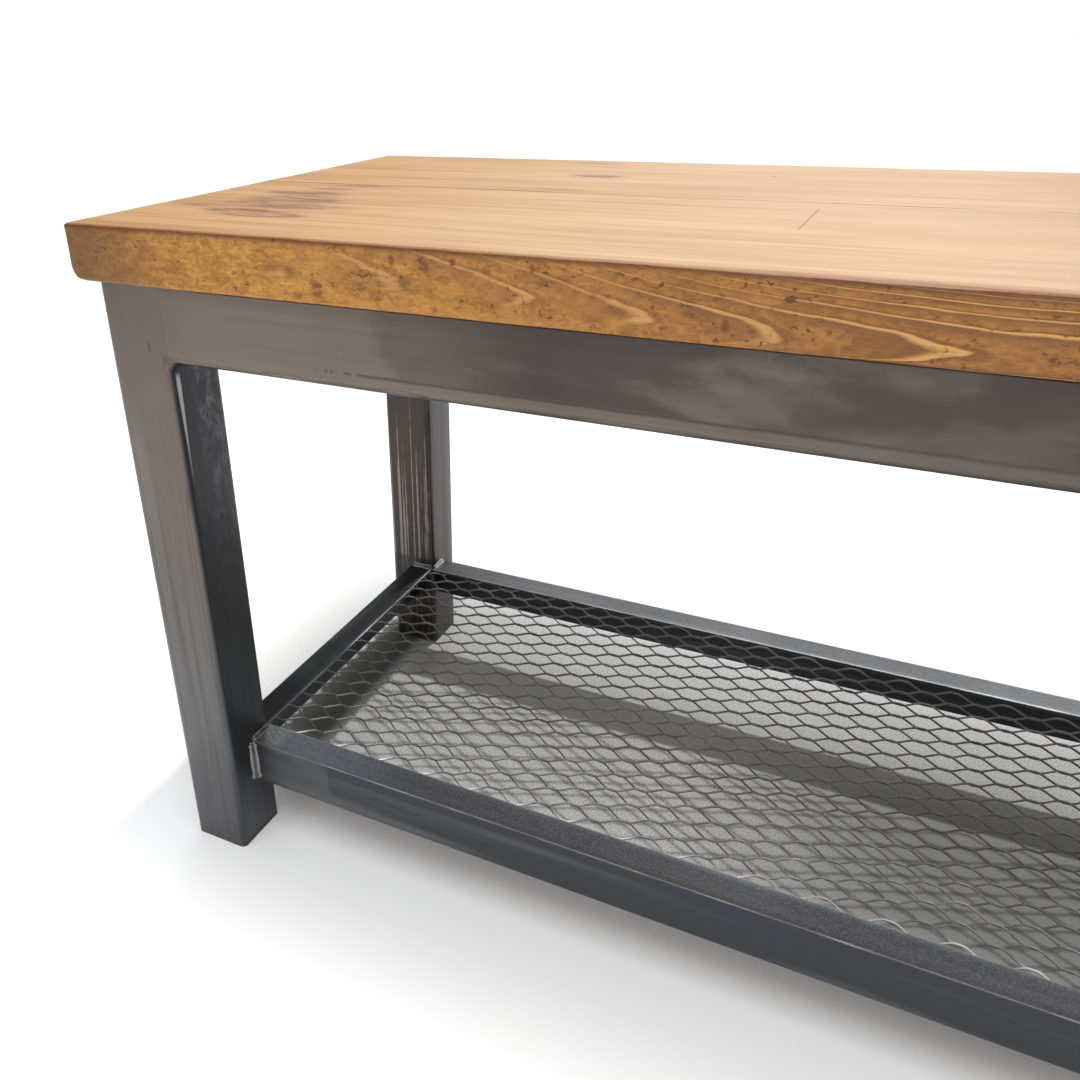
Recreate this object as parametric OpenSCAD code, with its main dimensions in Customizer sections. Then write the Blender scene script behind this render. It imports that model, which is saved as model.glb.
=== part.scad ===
// Entryway bench: two thick timber boards on a welded box-section frame,
// with a low shelf of expanded metal held in a steel angle frame.
// Millimetres. X runs along the bench, the front faces -Y, Z is up.
// The origin is on the floor under the middle of the seat.

/* [Seat] */
// Length of the seat boards
bench_len = 1000; // [700:10:1600]
// Depth of the seat, front to back
bench_depth = 410; // [320:5:500]
// Height of the seat surface above the floor
bench_h = 506; // [400:2:600]
// Thickness of the boards
board_t = 36; // [24:1:50]
// How far the boards run past the legs at each end
end_overhang = 15; // [0:1:60]
// How far the boards run past the legs at front and back
side_overhang = 5; // [0:1:30]
// How far the joint between the boards lies behind the middle
joint_offset = 8; // [-20:1:20]
// Radius worn along the lower edge at each end
end_round = 10; // [4:0.5:12]
// Radius worn along the other outside edges
edge_round = 3; // [1:0.5:4]
// Radius of the edges that meet at the joint
joint_round = 1; // [0.5:0.5:2]

/* [Frame] */
// Outside width of the square tube used for legs and aprons
tube = 50; // [40:1:60]
// Wall thickness of the square tube
tube_wall = 3; // [2:0.5:4]
// Outside corner radius of the square tube
tube_round = 5; // [4.5:0.5:7]
// Size of the ground welds inside the corners of the frame
corner_weld = 5; // [2:0.5:8]

/* [Shelf] */
// Height of the top of the shelf frame above the floor
shelf_h = 95; // [70:1:200]
// Height of the steel angle around the shelf
angle_h = 40; // [30:1:50]
// Width of the flat top of the steel angle
angle_w = 25; // [20:1:30]
// Thickness of the steel angle
angle_t = 4; // [3:0.5:5]
// Distance from the face of a leg back to the long angles
long_inset = 27; // [10:1:30]
// Distance from the face of a leg in to the short angles
short_inset = 24; // [10:1:30]
// Size of the weld beads at the ends of the angles
bead = 6; // [3:0.5:8]

/* [Mesh] */
// Target length of one diamond, along the bench
diamond_len = 40; // [30:1:60]
// Target width of one diamond, across the bench
diamond_w = 18.5; // [14:0.5:30]
// Width of one strand
strand_w = 2.2; // [1.5:0.1:3]
// Thickness of the mesh sheet
mesh_t = 2.5; // [1.5:0.1:3]

/* [Seat fixings] */
// Length of a cleat along the frame
cleat_len = 40; // [30:1:60]
// Width of each leg of a cleat
cleat_w = 30; // [26:1:36]
// Thickness of a cleat
cleat_t = 4; // [3:0.5:5]
// Diameter of the screw shank
screw_d = 5; // [4:0.5:6]
// Length of a screw below its head
screw_len = 26; // [14:1:28]

/* [View] */
// Part to draw

/* [Hidden] */
$fn = 32;

timber = [0.80, 0.62, 0.38];
steel = [0.42, 0.40, 0.38];
dark_steel = [0.28, 0.29, 0.31];
bright_steel = [0.62, 0.62, 0.62];
zinc = [0.72, 0.73, 0.75];

frame_h = bench_h - board_t;
frame_len = bench_len - 2 * end_overhang;
frame_depth = bench_depth - 2 * side_overhang;
plate_t = tube_wall;
bore_round = tube_round - tube_wall;
half_len = frame_len / 2;
half_depth = frame_depth / 2;
span_x = frame_len - 2 * tube;
span_y = frame_depth - 2 * tube;
apron_z = frame_h - tube;
tube_flat = tube - 2 * tube_round;

// Inner edges of the shelf frame, where the mesh is welded in
mesh_len = frame_len - 2 * (short_inset + angle_w);
mesh_depth = frame_depth - 2 * (long_inset + angle_w);
cells_x = round(mesh_len / diamond_len);
cells_y = round(mesh_depth / diamond_w);
pitch_x = mesh_len / cells_x;
pitch_y = mesh_depth / cells_y;
mesh_z = shelf_h - angle_t + (angle_t - mesh_t) / 2;
// Half the height of a strand measured straight across the bench
strand_half = strand_w / 2 * sqrt(pitch_x * pitch_x + pitch_y * pitch_y) / pitch_x;

// Cleats and their screws
cleat_from_leg = 110;
cleat_x = half_len - tube - cleat_from_leg;
cleat_z = frame_h - cleat_t;
// Share of the cleat's width between its back and the middle of the slot
slot_share = 0.56;
slot_y = half_depth - tube - cleat_w * slot_share;
slot_w = screw_d + 1.5;
slot_run = 8;
washer_t = 1.2;
washer_d = 13;
head_h = 3;
shank_len = head_h + screw_len;
head_d = 9.5;
drive_len = 4.8;
drive_w = 1.2;
drive_depth = 1.4;
weld_steps = 6;
// Radius of a domed weld as a share of the size of its corner
dome_share = 0.97;

// Rectangle with a corner at the origin. Its corners are rounded by the four
// radii, counted anticlockwise from the lower left.
module worn_rectangle(w, h, radii) {
    ends = [[0, 0], [w, 0], [w, h], [0, h]];
    inward = [[1, 1], [-1, 1], [-1, -1], [1, -1]];
    difference() {
        square([w, h]);
        for (i = [0:3]) translate(ends[i] + radii[i] / 2 * inward[i]) square(radii[i], center = true);
    }
    for (i = [0:3]) translate(ends[i] + radii[i] * inward[i]) circle(r = radii[i]);
}

// Rounded square centred on the origin
module rounded_square(w, r) {
    square([w, w - 2 * r], center = true);
    square([w - 2 * r, w], center = true);
    for (x = [-1, 1], y = [-1, 1]) {
        translate([x * (w / 2 - r), y * (w / 2 - r)]) circle(r = r);
    }
}

module tube_section() {
    difference() {
        rounded_square(tube, tube_round);
        rounded_square(tube - 2 * tube_wall, bore_round);
    }
}

// Board from y0 to y1, running the full length of the bench. The radii are
// those of its front and rear edges.
module board(y0, y1, front_r, rear_r) {
    intersection() {
        translate([-bench_len / 2, y1, frame_h]) rotate([90, 0, 0]) linear_extrude(y1 - y0)
            worn_rectangle(bench_len, board_t, [end_round, end_round, edge_round, edge_round]);
        translate([-bench_len / 2, y0, frame_h]) rotate([90, 0, 90]) linear_extrude(bench_len)
            worn_rectangle(y1 - y0, board_t, [front_r, rear_r, rear_r, front_r]);
    }
}

// Puts a screw or its washer under each cleat, on the sides listed
module screw_places(sides) {
    for (x = [-cleat_x, 0, cleat_x], side = sides) {
        translate([x, side * slot_y, cleat_z - washer_t - head_h]) children();
    }
}

module leg(sx, sy) {
    translate([sx * (half_len - tube / 2), sy * (half_depth - tube / 2), plate_t])
        linear_extrude(frame_h - plate_t) tube_section();
}

module foot_plate(sx, sy) {
    translate([sx * (half_len - tube / 2), sy * (half_depth - tube / 2), 0])
        linear_extrude(plate_t) rounded_square(tube, tube_round);
}

module long_apron(sy) {
    translate([-span_x / 2, sy * (half_depth - tube / 2), apron_z + tube / 2])
        rotate([90, 0, 90]) linear_extrude(span_x) tube_section();
}

module short_apron(sx) {
    translate([sx * (half_len - tube / 2), span_y / 2, apron_z + tube / 2])
        rotate([90, 0, 0]) linear_extrude(span_y) tube_section();
}

// Quarter-round hollow weld in the corner of the first quadrant
module hollow_weld(size) {
    polygon(concat([[0, 0]], [for (i = [0:weld_steps])
        let (a = 90 * i / weld_steps) [size * (1 - sin(a)), size * (1 - cos(a))]]));
}

// Full, slightly domed weld in the corner of the first quadrant
module domed_weld(size) {
    polygon(concat([[0, 0]], [for (i = [0:weld_steps])
        let (a = 90 * i / weld_steps) size * dome_share * [cos(a), sin(a)]]));
}

// Angle with its heel at the origin, its flat running to +X and its web down
module angle_section() {
    translate([0, -angle_t]) square([angle_w, angle_t]);
    translate([0, -angle_h]) square([angle_t, angle_h]);
}

module long_angle(sy) {
    translate([0, sy * (half_depth - long_inset), shelf_h]) mirror([0, sy > 0 ? 1 : 0, 0])
        translate([-span_x / 2, 0, 0]) rotate([90, 0, 90]) linear_extrude(span_x) angle_section();
}

module short_angle(sx) {
    translate([sx * (half_len - short_inset), 0, shelf_h]) mirror([sx > 0 ? 1 : 0, 0, 0])
        translate([0, span_y / 2, 0]) rotate([90, 0, 0]) linear_extrude(span_y) angle_section();
}

// One zigzag strand between bond rows y0 and y0 + pitch_y / 2
module zigzag(row) {
    n = 2 * cells_x;
    y0 = -mesh_depth / 2 + row * pitch_y / 2;
    function level(k) = y0 + ((k + row) % 2) * pitch_y / 2;
    polygon(concat(
        [for (k = [0:n]) [-mesh_len / 2 + k * pitch_x / 2, level(k) - strand_half]],
        [for (k = [n:-1:0]) [-mesh_len / 2 + k * pitch_x / 2, level(k) + strand_half]]
    ));
}

module seat_board_front() {
    color(timber) difference() {
        board(-bench_depth / 2, joint_offset, edge_round, joint_round);
        screw_places([-1]) cylinder(d = screw_d, h = shank_len);
    }
}

module seat_board_rear() {
    color(timber) difference() {
        board(joint_offset, bench_depth / 2, joint_round, edge_round);
        screw_places([1]) cylinder(d = screw_d, h = shank_len);
    }
}

module leg_front_left() {
    color(steel) leg(-1, -1);
}

module leg_front_right() {
    color(steel) leg(1, -1);
}

module leg_rear_left() {
    color(steel) leg(-1, 1);
}

module leg_rear_right() {
    color(steel) leg(1, 1);
}

module foot_plate_front_left() {
    color(steel) foot_plate(-1, -1);
}

module foot_plate_front_right() {
    color(steel) foot_plate(1, -1);
}

module foot_plate_rear_left() {
    color(steel) foot_plate(-1, 1);
}

module foot_plate_rear_right() {
    color(steel) foot_plate(1, 1);
}

module apron_front() {
    color(steel) long_apron(-1);
}

module apron_rear() {
    color(steel) long_apron(1);
}

module apron_left() {
    color(steel) short_apron(-1);
}

module apron_right() {
    color(steel) short_apron(1);
}

// Weld metal that squares off the rounded corner of a leg, ground flush
module corner_fill() {
    translate([0, 0, apron_z + tube_round]) linear_extrude(tube_flat) difference() {
        square(tube_round);
        circle(r = tube_round);
    }
}

// Ground welds where the aprons meet the legs: a hollow one under each apron
// and a flush one on each outer face
module corner_welds() {
    color(steel) for (mx = [0, 1], my = [0, 1]) mirror([mx, 0, 0]) mirror([0, my, 0]) {
        translate([-half_len + tube, -half_depth + tube - tube_round, apron_z])
            rotate([90, 0, 0]) linear_extrude(tube_flat) mirror([0, 1]) hollow_weld(corner_weld);
        translate([-half_len + tube_round, -half_depth + tube, apron_z])
            rotate([90, 0, 90]) linear_extrude(tube_flat) mirror([0, 1]) hollow_weld(corner_weld);
        translate([-half_len + tube - tube_round, -half_depth + tube_round, 0])
            mirror([0, 1, 0]) corner_fill();
        translate([-half_len + tube_round, -half_depth + tube - tube_round, 0])
            mirror([1, 0, 0]) corner_fill();
    }
}

module shelf_angle_front() {
    color(dark_steel) long_angle(-1);
}

module shelf_angle_rear() {
    color(dark_steel) long_angle(1);
}

module shelf_angle_left() {
    color(dark_steel) short_angle(-1);
}

module shelf_angle_right() {
    color(dark_steel) short_angle(1);
}

module shelf_mesh() {
    color(dark_steel) intersection() {
        translate([0, 0, mesh_z]) linear_extrude(mesh_t)
            for (row = [0:2 * cells_y - 1]) zigzag(row);
        translate([-mesh_len / 2, -mesh_depth / 2, mesh_z - 1]) cube([mesh_len, mesh_depth, mesh_t + 2]);
    }
}

// Beads where the ends of the angles meet the legs: one upright bead on the
// outside of each web and one lying bead across each flat
module shelf_welds() {
    top_size = bead / 2;
    color(bright_steel) for (mx = [0, 1], my = [0, 1]) mirror([mx, 0, 0]) mirror([0, my, 0]) {
        translate([-half_len + tube, -half_depth + long_inset, shelf_h - angle_h])
            linear_extrude(angle_h) mirror([0, 1]) domed_weld(bead);
        translate([-half_len + tube, -half_depth + tube - tube_round, shelf_h])
            rotate([90, 0, 0]) linear_extrude(tube - tube_round - long_inset) domed_weld(top_size);
        translate([-half_len + short_inset, -half_depth + tube, shelf_h - angle_h])
            linear_extrude(angle_h) mirror([1, 0]) domed_weld(bead);
        translate([-half_len + short_inset, -half_depth + tube, shelf_h])
            rotate([90, 0, 90]) linear_extrude(tube - tube_round - short_inset) domed_weld(bead);
    }
}

// Angle cleat on the inner face of a long apron. Its slot runs across the
// grain, so the boards can move with the seasons.
module seat_cleat(x, sy) {
    root_y = half_depth - tube;
    translate([x, 0, 0]) mirror([0, sy > 0 ? 0 : 1, 0]) difference() {
        union() {
            translate([-cleat_len / 2, root_y - cleat_w, cleat_z]) cube([cleat_len, cleat_w, cleat_t]);
            translate([-cleat_len / 2, root_y - cleat_t, frame_h - cleat_w])
                cube([cleat_len, cleat_t, cleat_w]);
        }
        for (y = [-slot_run / 2, slot_run / 2]) {
            translate([0, slot_y + y, cleat_z - 1]) cylinder(d = slot_w, h = cleat_t + 2);
        }
        translate([-slot_w / 2, slot_y - slot_run / 2, cleat_z - 1])
            cube([slot_w, slot_run, cleat_t + 2]);
    }
}

module seat_cleat_front_left() {
    color(steel) seat_cleat(-cleat_x, -1);
}

module seat_cleat_front_middle() {
    color(steel) seat_cleat(0, -1);
}

module seat_cleat_front_right() {
    color(steel) seat_cleat(cleat_x, -1);
}

module seat_cleat_rear_left() {
    color(steel) seat_cleat(-cleat_x, 1);
}

module seat_cleat_rear_middle() {
    color(steel) seat_cleat(0, 1);
}

module seat_cleat_rear_right() {
    color(steel) seat_cleat(cleat_x, 1);
}

module cleat_screws() {
    color(zinc) screw_places([-1, 1]) difference() {
        union() {
            cylinder(d = head_d, h = head_h);
            cylinder(d = screw_d, h = shank_len);
        }
        for (a = [0, 90]) rotate(a) translate([-drive_len / 2, -drive_w / 2, -1])
            cube([drive_len, drive_w, 1 + drive_depth]);
    }
}

module screw_washers() {
    color(zinc) screw_places([-1, 1]) translate([0, 0, head_h]) difference() {
        cylinder(d = washer_d, h = washer_t);
        translate([0, 0, -1]) cylinder(d = screw_d, h = washer_t + 2);
    }
}

seat_board_front();
seat_board_rear();
leg_front_left();
leg_front_right();
leg_rear_left();
leg_rear_right();
foot_plate_front_left();
foot_plate_front_right();
foot_plate_rear_left();
foot_plate_rear_right();
apron_front();
apron_rear();
apron_left();
apron_right();
corner_welds();
shelf_angle_front();
shelf_angle_rear();
shelf_angle_left();
shelf_angle_right();
shelf_mesh();
shelf_welds();
seat_cleat_front_left();
seat_cleat_front_middle();
seat_cleat_front_right();
seat_cleat_rear_left();
seat_cleat_rear_middle();
seat_cleat_rear_right();
cleat_screws();
screw_washers();
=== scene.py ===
"""The looks of the entryway bench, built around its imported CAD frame.

Two timber boards on a welded frame of square tube, and a low shelf of expanded metal
in a frame of angle iron. Lengths are in metres, in the frame of the CAD: X runs along
the bench, its front faces -Y and Z is up.
"""
import math

import bpy
import numpy as np
from mathutils import Euler, Matrix, Vector


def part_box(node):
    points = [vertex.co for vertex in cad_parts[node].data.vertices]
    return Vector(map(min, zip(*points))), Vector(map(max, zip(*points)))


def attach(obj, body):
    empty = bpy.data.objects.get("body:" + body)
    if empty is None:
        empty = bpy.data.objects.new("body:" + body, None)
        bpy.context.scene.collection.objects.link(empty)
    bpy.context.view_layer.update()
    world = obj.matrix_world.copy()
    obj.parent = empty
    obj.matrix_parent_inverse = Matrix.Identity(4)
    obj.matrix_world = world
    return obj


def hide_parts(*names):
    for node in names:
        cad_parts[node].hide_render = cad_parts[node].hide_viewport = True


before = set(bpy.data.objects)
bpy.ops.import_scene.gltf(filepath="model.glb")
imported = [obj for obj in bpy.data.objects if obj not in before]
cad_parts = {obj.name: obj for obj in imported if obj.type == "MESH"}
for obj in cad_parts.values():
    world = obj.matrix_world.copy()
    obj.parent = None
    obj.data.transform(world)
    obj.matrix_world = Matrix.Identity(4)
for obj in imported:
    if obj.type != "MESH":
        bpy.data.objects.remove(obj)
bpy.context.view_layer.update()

MM = 0.001


# ---------------------------------------------------------------- numbers and meshes

def smooth_noise(points, size, seed=0):
    """Smooth noise from -1 to 1 at each point. size is the spacing of its features, one number or three."""
    scaled = np.asarray(points, float) / size + 500.0 + 17.31 * seed
    cell = np.floor(scaled).astype(np.int64)
    part = scaled - cell
    part = part * part * (3 - 2 * part)
    total = np.zeros(len(scaled))
    for corner in np.ndindex(2, 2, 2):
        key = (cell + corner) @ np.array([73856093, 19349663, 83492791]) + seed * 9176
        key = ((key ^ (key >> 13)) * 1274126177) & 0x7FFFFFFF
        value = (key ^ (key >> 16)) % 65536 / 32767.5 - 1
        total += value * np.prod(np.where(corner, part, 1 - part), axis=1)
    return total


def smoothstep(low, high, value):
    """0 below low, 1 above high, and a smooth rise between."""
    t = np.clip((value - low) / (high - low), 0, 1)
    return t * t * (3 - 2 * t)


def stations(low, high, step, edge, fine):
    """Places to cut a length: fine steps within edge of both ends, and about step between."""
    ends = max(1, round(edge / fine))
    middle = max(2, round((high - low - 2 * edge) / step) + 1)
    return np.concatenate([
        np.linspace(low, low + edge, ends, endpoint=False),
        np.linspace(low + edge, high - edge, middle),
        np.linspace(high, high - edge, ends, endpoint=False)[::-1],
    ])


def quad_normals(points, quads):
    """Vertex normals of a mesh of quads."""
    a, b, c, d = (points[quads[:, i]] for i in range(4))
    across = np.cross(c - a, d - b)
    total = np.zeros_like(points)
    for i in range(4):
        np.add.at(total, quads[:, i], across)
    return total / np.maximum(np.linalg.norm(total, axis=1, keepdims=True), 1e-12)


def make_piece(name, points, faces, material, slot, replaces=(), sharp=40, **attributes):
    """A mesh piece that rides on the bench, with smooth shading up to the sharp angle in degrees."""
    mesh = bpy.data.meshes.new(name)
    corners = [tuple(point) for point in np.asarray(points, float)]
    mesh.from_pydata(corners, [], [tuple(int(i) for i in face) for face in faces])
    mesh.validate()
    for key, values in attributes.items():
        layer = mesh.attributes.new(key, "FLOAT", "POINT")
        layer.data.foreach_set("value", np.asarray(values, np.float32))
    mesh.shade_smooth()
    mesh.set_sharp_from_angle(angle=math.radians(sharp))
    mesh.materials.append(material)
    piece = bpy.data.objects.new(name, mesh)
    bpy.context.scene.collection.objects.link(piece)
    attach(piece, "root")
    if replaces:
        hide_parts(*replaces)


def loft(rings, closed_ends=True):
    """Quads along a stack of rings (n, m, 3), and a fan of caps at both ends. Returns points and faces."""
    rings = np.asarray(rings, float)
    count, size = rings.shape[:2]
    index = np.arange(count * size).reshape(count, size)
    after = np.roll(index, -1, axis=1)
    faces = np.stack([index[:-1], after[:-1], after[1:], index[1:]], -1).reshape(-1, 4).tolist()
    if closed_ends:
        faces.append(index[0][::-1].tolist())
        faces.append(index[-1].tolist())
    return rings.reshape(-1, 3), faces


class Parts:
    """Gathers several closed shapes, and their vertex values, into one mesh."""

    def __init__(self):
        self.points, self.faces, self.values, self.count = [], [], [], 0

    def add(self, points, faces, values=None):
        self.faces += [[i + self.count for i in face] for face in faces]
        self.points.append(np.asarray(points, float))
        self.values.append(np.zeros(len(points)) if values is None else np.asarray(values, float))
        self.count += len(points)

    def all_points(self):
        return np.concatenate(self.points)

    def all_values(self):
        return np.concatenate(self.values)


# ---------------------------------------------------------------- node materials

def rgb(red, green, blue):
    """A shader colour from the 0 to 255 values of a screen."""
    def linear(value):
        share = value / 255
        return share / 12.92 if share <= 0.04045 else ((share + 0.055) / 1.055) ** 2.4
    return (linear(red), linear(green), linear(blue), 1.0)


class Output:
    """An output of a node. The signs of arithmetic make math nodes from it."""

    def __init__(self, nodes, socket):
        self.nodes, self.socket = nodes, socket

    def __add__(self, other):
        return self.nodes.math("ADD", self, other)

    def __sub__(self, other):
        return self.nodes.math("SUBTRACT", self, other)

    def __rsub__(self, other):
        return self.nodes.math("SUBTRACT", other, self)

    def __mul__(self, other):
        return self.nodes.math("MULTIPLY", self, other)

    def __truediv__(self, other):
        return self.nodes.math("DIVIDE", self, other)

    def __abs__(self):
        return self.nodes.math("ABSOLUTE", self)


class Nodes:
    """A node tree, with short calls for the nodes that it is built from."""

    def __init__(self, tree):
        self.tree = tree

    def feed(self, socket, value):
        """Links an output to an input socket, or sets the socket to a plain value."""
        if isinstance(value, Output):
            self.tree.links.new(value.socket, socket)
        else:
            socket.default_value = value

    def node(self, kind, inputs=None, **settings):
        made = self.tree.nodes.new(kind)
        for key, value in settings.items():
            setattr(made, key, value)
        for key, value in (inputs or {}).items():
            self.feed(made.inputs[key], value)
        return made

    def out(self, kind, inputs=None, output=0, **settings):
        """One output of a new node."""
        return Output(self, self.node(kind, inputs, **settings).outputs[output])

    def math(self, operation, first, second=0.0):
        return self.out("ShaderNodeMath", {0: first, 1: second}, operation=operation)

    def span(self, value, low, high, to_low=0.0, to_high=1.0):
        """Value moved smoothly from the range low to high onto to_low to to_high, and held there."""
        limits = {"Value": value, "From Min": low, "From Max": high, "To Min": to_low, "To Max": to_high}
        return self.out("ShaderNodeMapRange", limits, interpolation_type="SMOOTHSTEP")

    def fall(self, value, low, high):
        """1 where value is below low, 0 where it is above high, and a smooth fall between."""
        return self.span(value, low, high, 1.0, 0.0)

    def mix(self, share, first, second):
        return self.out("ShaderNodeMix", {0: share, 6: first, 7: second}, 2, data_type="RGBA")

    def axes(self, vector):
        made = self.node("ShaderNodeSeparateXYZ", {0: vector})
        return [Output(self, socket) for socket in made.outputs]


class Shader(Nodes):
    """A material around one surface shader. x, y and z are the place on the bench."""

    def __init__(self, name, **constants):
        self.material = bpy.data.materials.new(name)
        self.material.use_nodes = True
        super().__init__(self.material.node_tree)
        self.surface = self.tree.nodes["Principled BSDF"]
        self.place = self.out("ShaderNodeTexCoord", output="Object")
        self.x, self.y, self.z = self.axes(self.place)
        for key, value in constants.items():
            self.surface.inputs[key.replace("_", " ")].default_value = value

    def noise(self, scale, detail=4.0, roughness=0.55, warp=0.0, shift=(0.0, 0.0, 0.0)):
        """Noise with scale features per metre, one number or one each for x, y and z."""
        scale = scale if isinstance(scale, tuple) else (scale,) * 3
        place = self.out("ShaderNodeMapping", {"Vector": self.place, "Scale": scale, "Location": shift})
        inputs = {"Vector": place, "Scale": 1.0, "Detail": detail, "Roughness": roughness, "Distortion": warp}
        return self.out("ShaderNodeTexNoise", inputs, "Fac")

    def attribute(self, name):
        return self.out("ShaderNodeAttribute", output="Fac", attribute_name=name)

    def facing(self, axis):
        """The part of the surface normal along one axis of the bench."""
        return self.axes(self.out("ShaderNodeNewGeometry", output="Normal"))["xyz".index(axis)]

    def bump(self, height, depth, strength):
        inputs = {"Height": height, "Strength": strength, "Distance": depth}
        return self.out("ShaderNodeBump", inputs, "Normal")

    def finish(self, base, roughness, normal):
        for key, value in (("Base Color", base), ("Roughness", roughness), ("Normal", normal)):
            self.feed(self.surface.inputs[key], value)
        return self.material


def timber_material(name, shift):
    """Stained and waxed softwood. Vertex values say where its growth rings, knots and arrises are."""
    s = Shader(name, Specular_IOR_Level=0.3, Coat_Weight=0.1, Coat_Roughness=0.4)
    x, y = s.x, s.y
    left = s.fall(x, -0.5, -0.05)
    fibre = s.noise((9, 700, 700), 5, 0.6, shift=shift)
    streak = s.noise((3.5, 170, 170), 5, 0.62, 0.4, shift)
    cloud = s.noise((4, 14, 14), 3, 0.5, shift=shift)
    mottle = s.noise((60, 140, 140), 4, 0.6, shift=shift)

    # millimetres below the arris, whose worn band is wider to the right
    ragged = mottle * 2.4 - 1.2
    below = s.attribute("below") - (s.span(x, -0.2, 0.12, 0.0, 0.8) + ragged)
    top = s.fall(below, -0.6, 0.8)

    # growth rings: a wide soft band and a narrow late line, where the board lets them show, and a dark line
    # just after each, which is painted shade beside the raised ring
    waver = s.noise((22, 90, 120), 3, shift=shift) * 0.5 - 0.25
    phase = s.math("FRACT", s.attribute("ring") + waver)
    arc = s.attribute("arc")
    late_start = s.span(x, -0.3, -0.1, 0.83, 0.76)
    late = s.span(phase, late_start, 0.89) * s.fall(phase, 0.93, 1.0) * arc
    band = s.span(phase, 0.0, 0.85) * arc
    after = s.fall(phase, 0.02, 0.14) * arc

    # the top, paler than the sides partly as painted sheen, and then the sides
    top_light = s.mix(left, rgb(197, 165, 128), rgb(188, 149, 104))
    top_dark = s.mix(left, rgb(177, 142, 104), rgb(164, 123, 80))
    top_base = s.mix(s.span(streak * 0.6 + cloud * 0.4, 0.36, 0.62), top_dark, top_light)
    top_base = s.mix(s.span(x, -0.02, 0.10, 0.0, 0.45), top_base, rgb(160, 124, 88))
    top_base = s.mix(late * 0.16, top_base, rgb(170, 116, 74))
    side_light = s.mix(left, rgb(171, 116, 52), rgb(200, 145, 58))
    side_dark = s.mix(left, rgb(124, 79, 34), rgb(146, 94, 28))
    speck = s.noise((170, 300, 300), 4, 0.7, 0.8, shift)
    side_shade = s.span(speck * 0.50 + mottle * 0.28 + cloud * 0.22, 0.38, 0.62)
    side_base = s.mix(side_shade, side_dark, side_light)
    # on the sides the band is darker partly as painted shade, and the late line is pale as a painted
    # highlight on the raised rings
    side_base = s.mix(band * s.span(x, -0.3, 0.0, 0.5, 0.78), side_base, rgb(104, 62, 30))
    side_base = s.mix(late * s.span(x, -0.3, -0.1, 0.55, 0.8), side_base, rgb(214, 162, 92))
    # painted shade just past each raised ring
    side_base = s.mix(after * 0.5, side_base, rgb(92, 52, 22))
    side_base = s.mix(s.span(x, -0.495, -0.39, 0.8, 0.0), side_base, rgb(92, 56, 20))
    base = s.mix(top, side_base, top_base)

    # fine fibres, pits filled with dark stain, the rubbed band and the arris line
    base = s.mix(s.span(fibre, 0.42, 0.66, 0.0, 0.2), base, rgb(120, 76, 40))
    pit = s.span(s.noise((210, 270, 300), 3, 0.66, 0.5, shift), 0.60, 0.66)
    cluster = s.span(s.noise((26, 30, 50), 2, shift=shift), 0.40, 0.58)
    pit = pit * cluster * s.span(top, 0.0, 1.0, 0.85, 0.12) * s.span(x, -0.05, 0.15, 1.0, 0.5)
    base = s.mix(pit, base, rgb(82, 44, 20))
    rub = s.span(below, s.span(x, -0.2, 0.1, -4.0, -11.0), -1.2) * s.fall(below, 0.4, 1.6)
    base = s.mix(rub * s.span(streak, 0.35, 0.6, 0.40, 0.95), base, rgb(142, 88, 52))
    line = s.span(below, -0.4, 0.8) * s.fall(below, 1.3, 4.6)
    base = s.mix(line * 0.75, base, rgb(88, 46, 24))

    # knots, the joint and one long scratch
    knot_streak = s.span(s.noise((30, 230, 230), 6, 0.68, 0.6, shift), 0.40, 0.56)
    knot = s.span(s.attribute("knot"), 0.06, 0.55) * s.span(knot_streak, 0.0, 1.0, 0.15, 1.0)
    base = s.mix(knot * 0.8, base, s.mix(top, rgb(92, 48, 22), rgb(112, 74, 62)))
    open_joint = s.fall(x, -0.26, -0.24) + s.span(x, -0.09, -0.06)
    joint = s.fall(abs(y - JOINT_Y), 0.3 * MM, 1.5 * MM) * s.span(open_joint, 0.0, 1.0, 0.35, 0.9)
    base = s.mix(joint, base, rgb(96, 62, 50))
    from_scratch = abs(x + (mottle * (1.5 * MM) - SCRATCH_X))
    scratch = s.fall(from_scratch, 0.3 * MM, 0.8 * MM) * s.span(y, -0.094, -0.09) * s.fall(y, -0.02, -0.014)
    base = s.mix(scratch * top * 0.6, base, rgb(112, 76, 56))

    height = late * 0.5 + fibre * 0.25 + mottle * 0.6 - pit * 0.9
    normal = s.bump(height * s.span(top, 0.0, 1.0, 1.0, 0.22), 0.9 * MM, 0.7)
    rough = s.span(streak - late * 0.15, 0.3, 0.7, 0.46, 0.62)
    return s.finish(base, rough, normal)


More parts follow.
